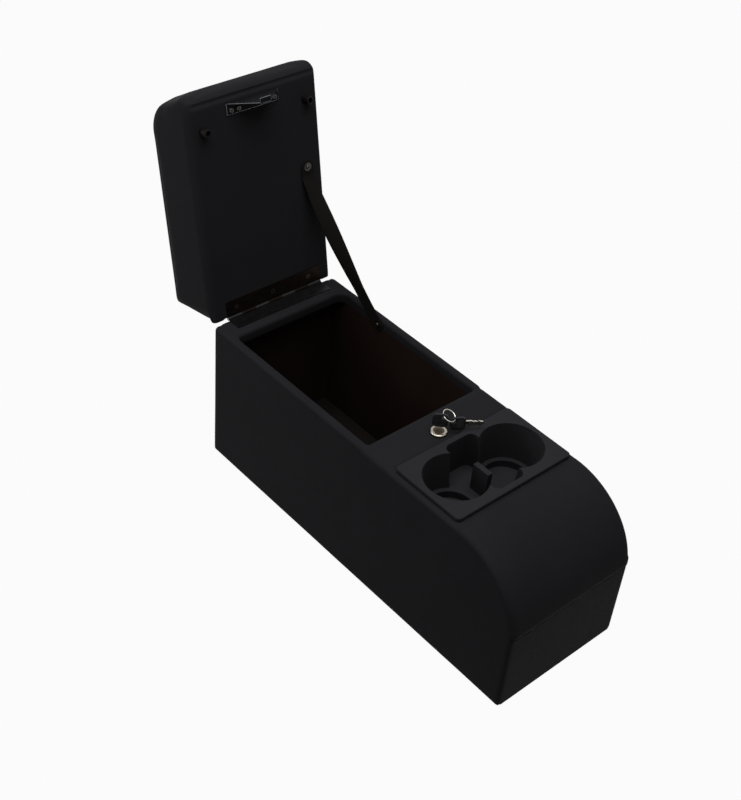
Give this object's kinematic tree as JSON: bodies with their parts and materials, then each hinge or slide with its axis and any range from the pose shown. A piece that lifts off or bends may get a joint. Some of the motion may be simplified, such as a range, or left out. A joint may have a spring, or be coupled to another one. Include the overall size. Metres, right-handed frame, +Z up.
{
  "type": "car center console",
  "caption": "Bench-seat center console: storage bin under a padded hinged lid with key lock and check strap, drop-in double cup holder, rounded front",
  "frame": {"origin": "middle of the base's underside, where the console stands on the floor", "axes": "+X across to the side with the strap, +Y towards the hinged rear, +Z up"},
  "size_m": [0.216, 0.763, 0.5487],
  "materials": {
    "vinyl": "black leather-grain vinyl, satin",
    "plywood": "plywood stained black",
    "moulded_plastic": "black moulded ABS, fine texture",
    "dull_steel": "dark plated steel",
    "zinc_steel": "zinc-plated sheet steel",
    "chrome_plate": "chrome-plated brass",
    "key_steel": "nickel-plated",
    "key_plastic": "black moulded plastic",
    "bumper_rubber": "black rubber",
    "webbing": "black woven webbing"
  },
  "bodies": {
    "console": {"left_side_panel": "vinyl", "right_side_panel": "vinyl", "front_cover": "vinyl", "lower_front_panel": "vinyl", "rear_panel": "vinyl", "base_panel": "plywood", "rear_rail": "vinyl", "bin_front_wall": "vinyl", "cup_holder_insert": "moulded_plastic", "hinge_body_leaf": "dull_steel", "hinge_pin": "dull_steel", "hinge_body_screws": "dull_steel", "lock_housing": "chrome_plate", "lock_nut": "dull_steel", "lid_strap": "webbing", "strap_wall_screw": "dull_steel", "strap_wall_washer": "dull_steel"},
    "lid": {"lid_board": "vinyl", "lid_cushion": "vinyl", "strike_bracket": "zinc_steel", "strike_screws": "dull_steel", "left_bumper": "bumper_rubber", "right_bumper": "bumper_rubber", "bumper_screws": "dull_steel", "hinge_lid_leaf": "dull_steel", "hinge_lid_screws": "dull_steel", "strap_lid_screw": "dull_steel", "strap_lid_washer": "dull_steel"},
    "plug": {"lock_plug": "chrome_plate", "lock_cam": "dull_steel", "cam_screw": "dull_steel"},
    "keys": {"key_blade": "key_steel", "key_head": "key_plastic", "key_ring": "key_steel", "spare_key_head": "key_plastic", "spare_key_blade": "key_steel"}
  },
  "joints": [
    {"name": "lid_hinge", "type": "hinge", "parent": "console", "child": "lid", "pos_m": [0, 0.3062, 0.2292], "axis": [-1, 0, 0], "range_deg": [-101, 0], "deforming": ["lid_strap"]},
    {"name": "lock_turn", "type": "hinge", "parent": "console", "child": "plug", "pos_m": [-0.006, -0.0475, 0.2309], "axis": [0, 0, -1], "range_deg": [0, 90]},
    {"name": "key_pull", "type": "slide", "parent": "plug", "child": "keys", "axis": [0, 0, 1], "range_m": [0, 0.025]}
  ]
}
